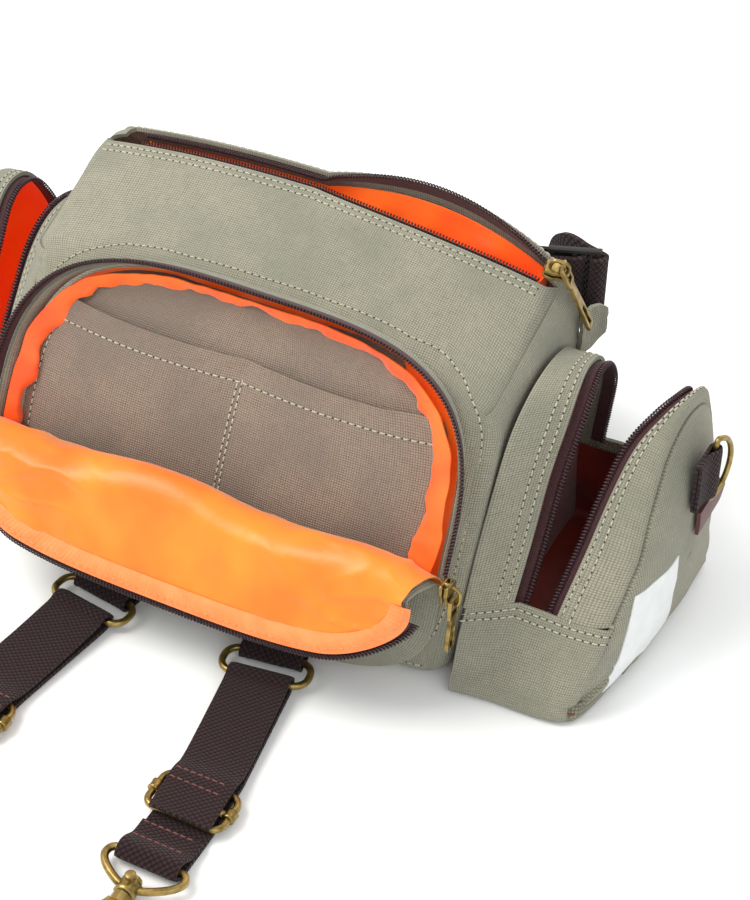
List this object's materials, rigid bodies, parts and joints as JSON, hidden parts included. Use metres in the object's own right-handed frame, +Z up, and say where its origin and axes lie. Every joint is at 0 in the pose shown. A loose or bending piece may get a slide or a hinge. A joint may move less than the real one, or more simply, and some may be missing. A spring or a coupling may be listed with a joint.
{
  "type": "hip pack",
  "caption": "Canvas hip pack standing on its base: zipped main bag, front pocket unzipped with its flap folded out, open side pockets, waist belt, and short straps with swivel snap hooks.",
  "frame": {"origin": "middle of the main bag's flat base", "axes": "+Z up, +X to the wearer's left side as seen from the front (the picture's right), +Y towards the back, where the belt is sewn"},
  "size_m": [0.3444, 0.3709, 0.1451],
  "materials": {
    "cotton_canvas": "plain-woven cotton canvas in pale grey-green, matte",
    "inner_canvas": "plain-woven cotton in warm grey-brown, matte",
    "satin_lining": "smooth bright orange lining cloth with a soft sheen",
    "cotton_webbing": "coarse basket-woven webbing in dark brown, matte",
    "zip_tape": "dark maroon zip tape with a nylon coil",
    "antique_brass": "darkened brass, bright along its edges",
    "black_plastic": "moulded acetal, satin black-brown",
    "brown_leather": "smooth reddish-brown leather",
    "woven_label": "white woven label with nothing on it"
  },
  "bodies": {
    "pack": {"belt_adjuster_left": "black_plastic", "belt_adjuster_right": "black_plastic", "belt_band": "cotton_webbing", "belt_buckle_plug": "black_plastic", "belt_buckle_socket": "black_plastic", "belt_strap_left": "cotton_webbing", "belt_strap_right": "cotton_webbing", "belt_wing_left": "cotton_canvas", "belt_wing_right": "cotton_canvas", "front_pocket_gusset": "cotton_canvas", "front_pocket_gusset_lining": "satin_lining", "front_pocket_panel": "cotton_canvas", "front_pocket_panel_lining": "satin_lining", "front_zip_flap_half": "zip_tape", "front_zip_mouth_half": "zip_tape", "front_zip_slider": "antique_brass", "hook_eye_left": "antique_brass", "hook_eye_right": "antique_brass", "main_bag_canvas": "cotton_canvas", "main_bag_lining": "satin_lining", "main_zip_back_half": "zip_tape", "main_zip_front_half": "zip_tape", "main_zip_slider": "antique_brass", "pocket_back_panel": "inner_canvas", "side_label": "woven_label", "side_leather_tab": "brown_leather", "side_pocket_inner_left": "cotton_canvas", "side_pocket_inner_right": "cotton_canvas", "side_pocket_lining_left": "satin_lining", "side_pocket_lining_right": "satin_lining", "side_pocket_outer_left": "cotton_canvas", "side_pocket_outer_right": "cotton_canvas", "side_ring": "antique_brass", "side_ring_loop": "cotton_webbing", "side_zip_inner_left": "zip_tape", "side_zip_inner_right": "zip_tape", "side_zip_outer_left": "zip_tape", "side_zip_outer_right": "zip_tape", "slip_pocket_panel": "inner_canvas", "strap_ring_left": "antique_brass", "strap_ring_right": "antique_brass", "strap_tab_left": "cotton_webbing", "strap_tab_right": "cotton_webbing", "strap_triglide_left": "antique_brass", "strap_triglide_right": "antique_brass", "strap_webbing_left": "cotton_webbing", "strap_webbing_right": "cotton_webbing"},
    "main_puller": {"main_zip_puller": "antique_brass"},
    "front_puller": {"front_zip_puller": "antique_brass"},
    "hook_right": {"hook_body_right": "antique_brass"},
    "hook_left": {"hook_body_left": "antique_brass"},
    "gate_right": {"hook_gate_right": "antique_brass"},
    "gate_left": {"hook_gate_left": "antique_brass"}
  },
  "joints": [
    {"name": "main_puller_swing", "type": "hinge", "parent": "pack", "child": "main_puller", "pos_m": [0.09722, 0.04509, 0.13074], "axis": [-0.2625, 0.964, 0.0437], "range_deg": [-140, 0]},
    {"name": "front_puller_swing", "type": "hinge", "parent": "pack", "child": "front_puller", "pos_m": [0.10745, -0.06463, 0.05471], "axis": [0, 0.995, -0.0995], "range_deg": [-150, 0]},
    {"name": "hook_swivel_right", "type": "hinge", "parent": "pack", "child": "hook_right", "pos_m": [0.0493, -0.208, 0.0046], "axis": [0, 1, 0], "continuous": true},
    {"name": "gate_swing_right", "type": "hinge", "parent": "hook_right", "child": "gate_right", "pos_m": [0.0527, -0.217, 0.0046], "axis": [0, 0, 1], "range_deg": [-20, 0], "stiffness_Nm_per_rad": 0.02},
    {"name": "hook_swivel_left", "type": "hinge", "parent": "pack", "child": "hook_left", "pos_m": [-0.0493, -0.208, 0.0046], "axis": [0, 1, 0], "continuous": true},
    {"name": "gate_swing_left", "type": "hinge", "parent": "hook_left", "child": "gate_left", "pos_m": [-0.0459, -0.217, 0.0046], "axis": [0, 0, 1], "range_deg": [-20, 0], "stiffness_Nm_per_rad": 0.02}
  ]
}
